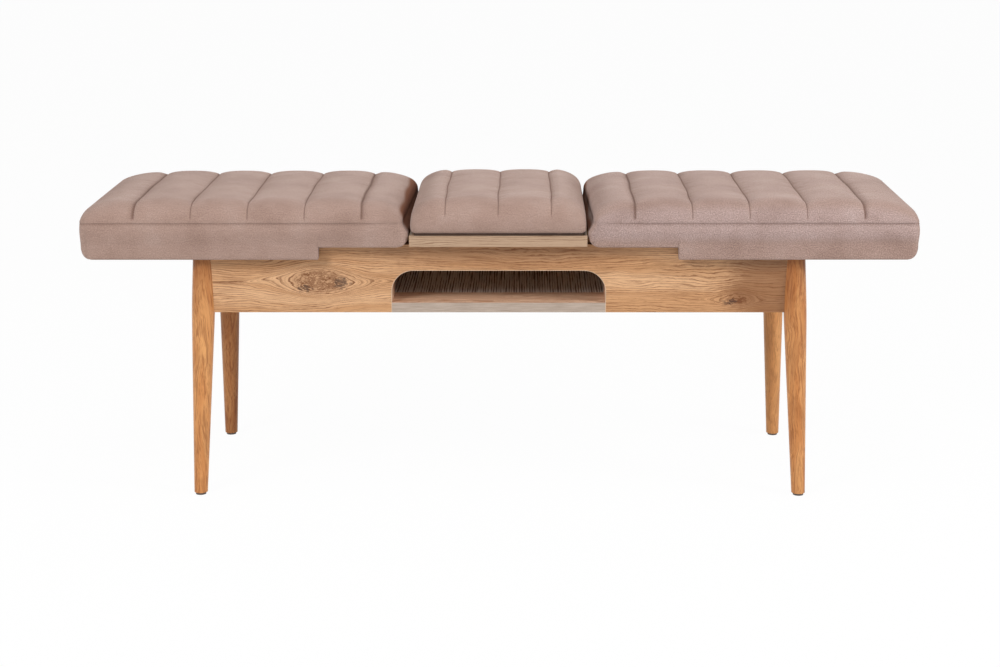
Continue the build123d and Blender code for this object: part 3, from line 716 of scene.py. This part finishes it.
def plumped(points, held, most):
    """The grid of points after cloth under pressure, with no gravity, has swelled between its held points.

    Each move is cut to the most allowed.
    """
    flat = points.reshape(-1, 3)
    mesh = bpy.data.meshes.new("plump")
    mesh.from_pydata(flat.tolist(), [], grid_faces(*points.shape[:2]).tolist())
    sheet = placed("plump", mesh)
    scene = bpy.context.scene
    group = sheet.vertex_groups.new(name="held")
    group.add(np.flatnonzero(held.ravel()).tolist(), 1.0, "REPLACE")
    cloth = sheet.modifiers.new("cloth", "CLOTH")
    for key, value in CLOTH_VALUES.items():
        setattr(cloth.settings, key, value)
    cloth.settings.effector_weights.gravity = 0.0
    cloth.collision_settings.use_self_collision = False
    cloth.point_cache.frame_start = 1
    cloth.point_cache.frame_end = CLOTH_FRAMES
    for number in range(1, CLOTH_FRAMES + 1):
        scene.frame_set(number)
    solved = sheet.evaluated_get(bpy.context.evaluated_depsgraph_get())
    moved = np.empty(len(flat) * 3, dtype=np.float32)
    solved.data.vertices.foreach_get("co", moved)
    scene.frame_set(1)
    bpy.data.objects.remove(sheet)
    bpy.data.meshes.remove(mesh)
    move = moved.reshape(-1, 3).astype(float) - flat
    far = np.linalg.norm(move, axis=1, keepdims=True)
    move *= np.minimum(1.0, most / np.maximum(far, 1.0e-9))
    return (flat + move).reshape(points.shape)


def pad_piece(name, body, pad, points, fabric, material, half=None):
    """A closed pad: the swelled top, its lower rows of (inset, height) and a flat base.

    Gives the piece and the lines of its seams. The pad of a seat half has a lined end.
    """
    seam_columns = np.isclose(pad_columns(pad)[:, None], np.array(pad.seams)[None, :]).any(axis=1)
    held = np.zeros(points.shape[:2], dtype=bool)
    held[seam_columns] = True
    held[[0, -1], :] = True
    held[:, [0, -1]] = True
    points = plumped(points, held, fabric.swell)
    shown = seam_shown(pad, pad.depth + pad_rows(pad))
    seam_lines = points[seam_columns][:, shown > UNSEEN_SEAM]
    points = cubic_midpoints(cubic_midpoints(points, 0), 1)
    columns, rows = points.shape[:2]
    # Painted shade along the seams: 0.85 on each seam column and 0.2 beside it, faded as the seam fades up
    # the front roll.
    seam = np.zeros(columns)
    seam[::2] = 0.85 * seam_columns
    seam = np.maximum(seam, 0.2 * np.maximum(np.roll(seam, 1), np.roll(seam, -1)))
    painted_seam_shade = seam[:, None] * np.interp(np.arange(rows), 2.0 * np.arange(len(shown)), shown)[None, :]
    painted_end_shade = painted_end_shade_share(points, half) if half else np.zeros((columns, rows))
    border = border_loop(columns, rows)
    ring = points.reshape(-1, 3)[border]
    outward = plan_normals(ring)
    across, along = path_lengths(points[:, rows // 2]), path_lengths(points[columns // 2])
    developed = np.stack(np.meshgrid(across, along, indexing="ij"), axis=2).reshape(-1, 2)
    uv = [developed]
    layers = [points.reshape(-1, 3)]
    faces = grid_faces(columns, rows).tolist()
    upper = border
    for number, (inset, height) in enumerate(pad.tuck):
        lower = columns * rows + number * len(border) + np.arange(len(border))
        layers.append(np.column_stack([ring[:, :2] - outward * inset, np.full(len(ring), height)]))
        uv.append(developed[border] + outward * float(pad.seam_z - height + inset))
        faces += ring_faces(lower, upper).tolist()
        upper = lower
    faces.append(upper[::-1].tolist())
    shares = {key: np.concatenate([share.ravel(), np.tile(share.ravel()[border], len(pad.tuck))])
              for key, share in (("painted_seam_shade", painted_seam_shade), ("painted_end_shade", painted_end_shade))}
    piece = new_piece(name, body, np.concatenate(layers), faces, material, shares, np.concatenate(uv))
    return piece, seam_lines


def seat_pad(half, fabric):
    """The pad of one seat half, with its seams spaced evenly between the two end channels."""
    outer, inner = (half.low, half.high) if half.sign < 0 else (half.high, half.low)
    first = outer - half.sign * fabric.end_channel
    last = inner + half.sign * fabric.inner_channel
    low_roll, high_roll = (fabric.end_roll, fabric.inner_roll)[:: 1 if half.sign < 0 else -1]
    tuck = ((0.0026, fabric.band_seam - 0.0012), (0.0026, half.board_top + CLEARANCE))
    seams = tuple(sorted(np.linspace(first, last, fabric.seams)))
    return Pad(half.low, half.high, half.depth, seam_z=fabric.band_seam, top=half.top + 0.0038,
               low_roll=low_roll, high_roll=high_roll, front_roll=fabric.front_roll,
               rear_roll=fabric.rear_roll, corner=fabric.corner, seams=seams, tuck=tuck, fade=0.1,
               dip=fabric.seam_dip)


def leaf_pad(fabric):
    """The pad of the leaf, with its lower edge tucked under on to its base panel."""
    low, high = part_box("leaf_cover")
    base = low.z
    tuck = ((0.0, base + 0.010), (0.0004, base + 0.006), (0.0016, base + 0.0025), (0.0045, base + 0.0003))
    seams = (-fabric.leaf_channel, 0.0, fabric.leaf_channel)
    return Pad(low.x, high.x, high.y, seam_z=base + 0.0145, top=high.z + 0.0066, low_roll=0.048,
               high_roll=0.044, front_roll=fabric.front_roll, rear_roll=fabric.rear_roll, corner=0.012,
               seams=seams, tuck=tuck, fade=0.3, dip=0.7 * fabric.seam_dip)


def band_outline(half, corner):
    """Points round a seat half in plan, anticlockwise: runs, round corners and twin points at the notch."""
    def run(start, stop, splits=()):
        marks = sorted([start, stop, *splits], reverse=start > stop)
        return np.concatenate([np.linspace(a, b, max(1, round(abs(b - a) / OUTLINE_GAP)) + 1)[:-1]
                               for a, b in zip(marks, marks[1:])])

    def line(x, y):
        return np.column_stack(np.broadcast_arrays(x, y))

    def arc(x, y, quarter):
        angle = (quarter + np.linspace(0.0, 1.0, 9)[:-1]) * math.pi / 2.0
        return np.column_stack([x + corner * np.cos(angle), y + corner * np.sin(angle)])

    twins = (half.notch - NOTCH_TWIN, half.notch + NOTCH_TWIN)
    left, right = half.low + corner, half.high - corner
    front, rear = corner - half.depth, half.depth - corner
    return np.concatenate([
        line(run(left, right, twins), -half.depth), arc(right, front, -1),
        line(half.high, run(front, rear)), arc(right, rear, 0),
        line(run(right, left, twins), half.depth), arc(left, rear, 1),
        line(half.low, run(rear, front)), arc(left, front, 2),
    ])


def lower_edge(half, x):
    """Height of a band's lower edge along X: the skirt's, or the board's in the notch.

    Both ends rise in a quarter circle: radius - root(radius^2 - (radius - distance from the end)^2).
    """
    under_board = half.board_low - BOARD_GAP
    level = np.where((x - half.notch) * half.sign > 0.0, half.bottom - CLEARANCE, under_board)
    for end in (half.low, half.high):
        gap = np.clip(SKIRT_RADIUS - np.abs(x - end), 0.0, SKIRT_RADIUS)
        level = level + SKIRT_RADIUS - np.sqrt(SKIRT_RADIUS ** 2 - gap ** 2)
    return level


def band_rows(half, fabric):
    """Rows of one seat half's band, each a ring of points round its outline.

    From the groove of the band seam down the face, round the lower edge on a small radius, inwards under
    the skirt, and up behind it. Heights follow lower_edge at each point. The face bulges by
    sin(pi drop^0.75), with the drop below the seam as a share of the bulge's height.
    """
    outline = band_outline(half, fabric.corner)
    inward = -plan_normals(outline)
    inward[np.abs(np.abs(outline[:, 1]) - half.depth) < 1.0e-6, 0] = 0.0
    inward = unit(inward)
    at_edge = lower_edge(half, outline[:, 0])
    groove = seam_kept(outline, half)[:, None]
    rows = [(inset * groove, np.full(len(outline), fabric.band_seam - drop))
            for inset, drop in ((0.0024, 0.0), (0.0009, 0.0009), (0.0002, 0.0022), (0.0, 0.004))]
    start = rows[-1][1]
    most = fabric.left_bulge if half.side == "left" else fabric.right_bulge
    spread = most * (0.3 + 0.7 * groove) * (0.3 + 0.7 * inward[:, 1:] ** 2)
    for share in np.linspace(0.0, 1.0, 19)[1:]:
        height = start + (at_edge + HEM_RADIUS - start) * share
        drop = np.clip((start - height) / BULGE_HEIGHT, 0.0, 1.0)[:, None]
        rows.append((-spread * np.sin(math.pi * drop ** 0.75), height))
    for inset in (0.0007, 0.0018, 0.004, 0.008, 0.0125, 0.017):
        lift = HEM_RADIUS - math.sqrt(HEM_RADIUS ** 2 - max(0.0, HEM_RADIUS - inset) ** 2)
        rows.append((inset, lower_edge(half, (outline + inward * inset)[:, 0]) + lift))
    last = lower_edge(half, (outline + inward * HEM_WIDTH)[:, 0])
    for share in (0.05, 0.5, 1.0):
        rows.append((HEM_WIDTH, last + np.maximum(half.board_low - last, 0.0) * share))
    rings = [np.column_stack([outline + inward * inset, height]) for inset, height in rows]
    return drawn_in(np.array(rings), half, fabric)


def band_piece(half, fabric, material):
    """The band of one seat half: rows round its outline, given the cloth's thickness."""
    rows = band_rows(half, fabric)
    count, around = rows.shape[:2]
    index = np.arange(count * around).reshape(count, around)
    faces = np.concatenate([ring_faces(lower, upper) for upper, lower in zip(index, index[1:])]).tolist()
    fall = np.cumsum(np.linalg.norm(np.diff(rows, axis=0, prepend=rows[:1]), axis=2), axis=0)
    uv = np.stack([np.broadcast_to(path_lengths(rows[3]), fall.shape), -fall], axis=2).reshape(-1, 2)
    # Painted shade along the band seam, fading out near the end beside the leaf.
    painted_seam_shade = np.zeros((count, around))
    painted_seam_shade[0] = 0.8 * seam_kept(rows[0], half)
    # The lining share paints shade on the band's end beside the leaf.
    shares = {"painted_seam_shade": painted_seam_shade, "painted_end_shade": painted_end_shade_share(rows, half)}
    piece = new_piece(f"{half.side}_seat_band", f"{half.side}_seat", rows.reshape(-1, 3), faces, material,
                      shares, uv)
    cloth = piece.modifiers.new("cloth thickness", "SOLIDIFY")
    cloth.thickness = THICKNESS
    cloth.offset = -1.0
    return piece, rows


def upward(lines):
    """Normals that point up along lines of points."""
    return [np.broadcast_to([0.0, 0.0, 1.0], line.shape) for line in lines]


def stitches(name, body, lines, normals, fabric, material):
    """Sewing thread along lines of points: short bent capsules, each a six-sided profile on a small arc.

    Along a stitch, t from -0.5 to 0.5, the radius goes as root(1 - (1.94 t)^2) and the arc as 1 - 7 t^2.
    """
    samples = []
    for line, normal in zip(lines, normals):
        far = path_lengths(line)
        marks = np.arange(fabric.stitch, far[-1] - fabric.stitch, fabric.stitch * 1.5)
        slope = np.gradient(line, far, axis=0)
        samples.append([np.column_stack([np.interp(marks, far, values) for values in part.T])
                        for part in (line, slope, normal)])
    place, run, up = (np.concatenate(part)[:, None, None, :] for part in zip(*samples))
    run = unit(run)
    across = unit(np.cross(up, run))
    up = np.cross(run, across)
    t = np.linspace(-0.5, 0.5, 5)[None, :, None, None]
    angle = np.linspace(0.0, 2.0 * math.pi, 7)[:-1][None, None, :, None]
    thick = THREAD_RADIUS * np.sqrt(np.clip(1.0 - (1.94 * t) ** 2, 0.05, 1.0))
    lift = STITCH_RISE * (1.0 - 7.0 * t ** 2)
    points = (place + run * t * fabric.stitch + up * (lift + thick * np.sin(angle))
              + across * thick * np.cos(angle))
    index = np.arange(points[..., 0].size).reshape(points.shape[:3])
    wrap = np.roll(index, -1, axis=2)
    quads = np.stack([index[:, :-1], index[:, 1:], wrap[:, 1:], wrap[:, :-1]], axis=3).reshape(-1, 4)
    caps = index[:, 0].tolist() + index[:, -1, ::-1].tolist()
    new_piece(name, body, points.reshape(-1, 3), quads.tolist() + caps, material)


def dress(material, *names):
    """Gives CAD nodes a finish."""
    for name in names:
        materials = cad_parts[name].data.materials
        materials.clear()
        materials.append(material)


class BENCH_OT_seat_upholstery(bpy.types.Operator):
    """Makes the channelled pads, their bands and the sewing of both seat halves"""

    bl_idname = "bench.seat_upholstery"
    bl_label = "Seat upholstery"

    def execute(self, context):
        fabric = context.scene.bench_fabric
        fabric_finish("leaf_fabric_nap", fabric, 1.3)
        cloths = (fabric_finish("left_fabric_nap", fabric, 1.4),
                  # The right cloth's last tint is a painted highlight, bluish, on its faces to the front and
                  # rear above the skirt.
                  fabric_finish("right_fabric_nap", fabric, 2.4, (1.02, 1.025, 1.05), (1.07, 1.14, 1.23)))
        thread = moulded_finish("sewing_thread", fabric.thread, linear(128, 102, 92), 0.8)
        for number, (side, cloth) in enumerate(zip(SIDES, cloths)):
            body = f"{side}_seat"
            half = seat_half(side)
            pad = seat_pad(half, fabric)
            points = drawn_in(pad_surface(pad, 11 + number), half, fabric)
            piece, seam_lines = pad_piece(f"{side}_seat_pad", body, pad, points, fabric, cloth, half)
            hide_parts(f"{side}_seat_foam")
            band, rows = band_piece(half, fabric, cloth)
            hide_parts(f"{side}_seat_cover")
            hidden = seam_kept(rows[2], half) < 0.5
            start = int(np.flatnonzero(hidden & ~np.roll(hidden, -1))[0]) + 1
            count = int((~hidden).sum())
            out = np.column_stack([plan_normals(rows[2]), np.zeros(len(hidden))])
            seam, out = (np.roll(part, -start, axis=0)[:count] for part in (rows[2], out))
            stitches(f"{side}_seat_sewing", body, [seam, *seam_lines], [out, *upward(seam_lines)],
                     fabric, thread)
        return {"FINISHED"}


class BENCH_OT_leaf_upholstery(bpy.types.Operator):
    """Makes the channelled pad of the leaf and its sewing"""

    bl_idname = "bench.leaf_upholstery"
    bl_label = "Leaf upholstery"

    def execute(self, context):
        fabric = context.scene.bench_fabric
        cloth = bpy.data.materials["leaf_fabric_nap"]
        thread = bpy.data.materials["sewing_thread"]
        pad = leaf_pad(fabric)
        piece, seam_lines = pad_piece("leaf_pad", "leaf", pad, pad_surface(pad, 5), fabric, cloth)
        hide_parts("leaf_cover", "leaf_foam")
        stitches("leaf_sewing", "leaf", seam_lines, upward(seam_lines), fabric, thread)
        return {"FINISHED"}


class BENCH_OT_oak_boards(bpy.types.Operator):
    """Finishes the aprons, the leaf board and the edging of the opening"""

    bl_idname = "bench.oak_boards"
    bl_label = "Oak boards"

    def execute(self, context):
        wood = context.scene.bench_wood
        oak = (wood.oak_light, wood.oak_body, wood.oak_dark)
        front_knots = ((-0.303, 0.369, 0.027, 0.062), (0.402, 0.339, 0.013, 0.03))
        rear_knots = ((-0.24, 0.352, 0.016, 0.04), (0.31, 0.375, 0.022, 0.055))
        front_spots = ((-0.266, 0.367, 0.014, 0.013), (-0.327, 0.358, 0.014, 0.007),
                       (0.392, 0.334, 0.016, 0.006))
        # Wide areas: painted shade at the top middle under the leaf and at the right end by the leg; the
        # wood's own brown round the two knots.
        front_brown_areas_and_painted_shade = ((0.0, 0.426, 0.28, 0.042, 0.38), (0.478, 0.37, 0.11, 0.14, 0.62),
                        (-0.303, 0.372, 0.07, 0.03, 0.2), (0.405, 0.345, 0.035, 0.02, 0.25))
        front = oak_finish("front_apron_oak", *oak, knots=front_knots, spots=front_spots, brown_areas_and_painted_shade=front_brown_areas_and_painted_shade)
        dress(front, "front_apron")
        dress(oak_finish("rear_apron_oak", *oak, knots=rear_knots), "rear_apron")
        dress(oak_finish("end_apron_oak", *oak, axes="YZX"), "left_apron", "right_apron")
        leaf_oak = oak_finish("leaf_board_oak", wood.leaf_light, wood.leaf_light, wood.leaf_dark)
        dress(leaf_oak, "leaf_board")
        dress(moulded_finish("edging_strip", linear(212, 184, 156), linear(194, 164, 136)), "opening_edging")
        return {"FINISHED"}


class BENCH_OT_storage(bpy.types.Operator):
    """Finishes the storage shelf and its side walls"""

    bl_idname = "bench.storage"
    bl_label = "Storage shelf"

    def execute(self, context):
        finish = shelf_finish("shelf_oak_streaked", context.scene.bench_wood)
        dress(finish, "storage_shelf", "storage_left_wall", "storage_right_wall")
        return {"FINISHED"}


class BENCH_OT_legs(bpy.types.Operator):
    """Finishes the four turned legs and their glides"""

    bl_idname = "bench.legs"
    bl_label = "Turned legs"

    def execute(self, context):
        wood = context.scene.bench_wood
        # Painted light and shade: the rear left and front right legs take the dark tone and the rear right
        # and front left the light one, as the lamps reach them.
        painted_light_and_shade_tones = {
            "front_left_leg": (wood.leg_light, 0.1),
            "front_right_leg": (wood.leg_dark, 0.12),
            "rear_left_leg": (wood.leg_dark, 0.42),
            "rear_right_leg": (wood.leg_light, 0.4),
        }
        for name, (tone, share) in painted_light_and_shade_tones.items():
            dress(leg_finish(f"{name}_wood", wood, tone, share), name)
        dress(moulded_finish("glide_nylon", linear(96, 84, 76), linear(78, 68, 62)), "foot_glides")
        return {"FINISHED"}


class BENCH_OT_inner_frame(bpy.types.Operator):
    """Finishes the hidden wood, boards, screws and buttons"""

    bl_idname = "bench.inner_frame"
    bl_label = "Inner frame"

    def execute(self, context):
        beech = plain_wood_finish("beech_plain", linear(219, 187, 148), linear(190, 150, 110))
        dress(beech, "front_guide_rail", "rear_guide_rail", "leaf_front_batten", "leaf_rear_batten",
              "apron_dowels", "corner_blocks", "block_dowels", "storage_dowels")
        board = chip_board_finish("pressed_board", linear(196, 164, 124), linear(146, 110, 76))
        # Painted shade: the leaf pad's base panel is near black and stands for the shade in the gap between
        # the pad and the leaf board.
        dark_ply_painted_shade = plain_wood_finish("plywood_panel", linear(84, 62, 48), linear(58, 42, 34))
        steel = steel_finish("zinc_steel")
        dress(dark_ply_painted_shade, "leaf_pad_base")
        for side in SIDES:
            dress(board, f"{side}_seat_board", f"{side}_front_skirt", f"{side}_rear_skirt",
                  f"{side}_end_skirt")
            dress(beech, f"{side}_front_runner", f"{side}_rear_runner")
            dress(steel, f"{side}_runner_screws", f"{side}_skirt_screws")
        dress(steel, "hanger_bolts", "hanger_washers", "hanger_nuts", "shelf_screws", "rail_screws",
              "leaf_batten_screws", "leaf_pad_screws")
        dress(moulded_finish("button_nylon", linear(216, 210, 198), linear(200, 193, 180)), "slide_buttons")
        return {"FINISHED"}


def white_to_camera(tree, lit, white, share, output):
    """Mixes a share of a white shader in for rays that the camera, a gloss or a glass sends."""
    rays = tree.add("ShaderNodeLightPath").outputs
    seen = tree.math("MAXIMUM", rays["Is Camera Ray"], rays["Is Glossy Ray"])
    seen = tree.math("MAXIMUM", seen, rays["Is Transmission Ray"])
    mix = tree.add("ShaderNodeMixShader", {0: seen * share, 1: lit.outputs[0], 2: white.outputs[0]})
    tree.put(mix.outputs[0], tree.nodes[output].inputs["Surface"])


class BENCH_OT_studio(bpy.types.Operator):
    """Makes the floor, the room light, the lamps and the camera"""

    bl_idname = "bench.studio"
    bl_label = "Studio"

    def execute(self, context):
        scene = context.scene
        stage = scene.bench_stage
        scene.view_settings.view_transform = "Standard"
        self.make_floor()
        scene.world = self.make_room(stage.room_light)
        self.make_lamp("left_lamp", (-2.0, -2.5, 2.3), stage.left_power, size=1.2)
        self.make_lamp("right_lamp", (2.6, -1.2, 1.6), stage.right_power, size=1.0)
        self.make_lamp("top_lamp", (0.0, -0.6, 3.2), stage.top_power, size=1.6)
        data = bpy.data.cameras.new("photo_camera")
        data.sensor_width = 36.0
        data.lens = stage.lens
        data.clip_end = 60.0
        camera = placed("photo_camera", data)
        camera.location = stage.camera_place
        roll = Quaternion((0.0, 0.0, 1.0), stage.camera_roll)
        camera.rotation_euler = (view_line(stage.camera_place, stage.camera_aim) @ roll).to_euler()
        scene.camera = camera
        return {"FINISHED"}

    def make_floor(self):
        """A wide pale floor that stays white behind the object and takes its shadow."""
        mesh = bpy.data.meshes.new("floor")
        mesh.from_pydata([(-20, -20, 0), (20, -20, 0), (20, 20, 0), (-20, 20, 0)], [], [(0, 1, 2, 3)])
        tree = FinishTree("floor_white", Base_Color=(0.88, 0.88, 0.88, 1.0), Roughness=0.95,
                          Specular_IOR_Level=0.0)
        white_to_camera(tree, tree.shader, tree.add("ShaderNodeEmission"), 0.97, "Material Output")
        mesh.materials.append(tree.material)
        floor = placed("floor", mesh)

    def make_room(self, strength):
        """A world of even white light, seen as plain white by the camera."""
        world = bpy.data.worlds.new("room")
        tree = NodeTree(world)
        light = tree.nodes["Background"]
        light.inputs["Color"].default_value = (1.0, 1.0, 1.0, 1.0)
        light.inputs["Strength"].default_value = strength
        white = tree.add("ShaderNodeBackground", {"Color": (1.0, 1.0, 1.0, 1.0), "Strength": 1.0})
        white_to_camera(tree, light, white, 1.0, "World Output")
        return world

    def make_lamp(self, name, place, power, size):
        """A square soft lamp that faces the bench."""
        data = bpy.data.lights.new(name, "AREA")
        data.energy = power
        data.size = size
        lamp = placed(name, data)
        lamp.location = place
        lamp.rotation_euler = view_line(place, (0.0, 0.0, 0.4)).to_euler()


class BENCH_PT_bench(bpy.types.Panel):
    """Lists the bench's pieces and their settings"""

    bl_idname = "BENCH_PT_bench"
    bl_label = "Extending bench"
    bl_space_type = "VIEW_3D"
    bl_region_type = "UI"
    bl_category = "Bench"

    def draw(self, context):
        column = self.layout.column()
        for operator in OPERATORS:
            column.operator(operator.bl_idname)
        for group in (context.scene.bench_fabric, context.scene.bench_wood, context.scene.bench_stage):
            box = self.layout.box()
            for key in group.__annotations__:
                box.prop(group, key)


OPERATORS = (
    BENCH_OT_studio,
    BENCH_OT_seat_upholstery,
    BENCH_OT_leaf_upholstery,
    BENCH_OT_oak_boards,
    BENCH_OT_storage,
    BENCH_OT_legs,
    BENCH_OT_inner_frame,
)
GROUPS = {"bench_fabric": BenchFabric, "bench_wood": BenchWood, "bench_stage": BenchStage}


def register():
    """Registers the settings, the operators and the panel."""
    for key, group in GROUPS.items():
        bpy.utils.register_class(group)
        setattr(bpy.types.Scene, key, PointerProperty(type=group))
    for operator in OPERATORS:
        bpy.utils.register_class(operator)
    bpy.utils.register_class(BENCH_PT_bench)


def unregister():
    """Removes the panel, the operators and the settings."""
    bpy.utils.unregister_class(BENCH_PT_bench)
    for operator in reversed(OPERATORS):
        bpy.utils.unregister_class(operator)
    for key, group in GROUPS.items():
        delattr(bpy.types.Scene, key)
        bpy.utils.unregister_class(group)


def main():
    """Builds the bench in order and writes the CAD box and the visual box."""
    register()
    bpy.ops.bench.studio()
    bpy.ops.bench.seat_upholstery()
    bpy.ops.bench.leaf_upholstery()
    bpy.ops.bench.oak_boards()
    bpy.ops.bench.storage()
    bpy.ops.bench.legs()
    bpy.ops.bench.inner_frame()


if __name__ == "__main__":
    main()
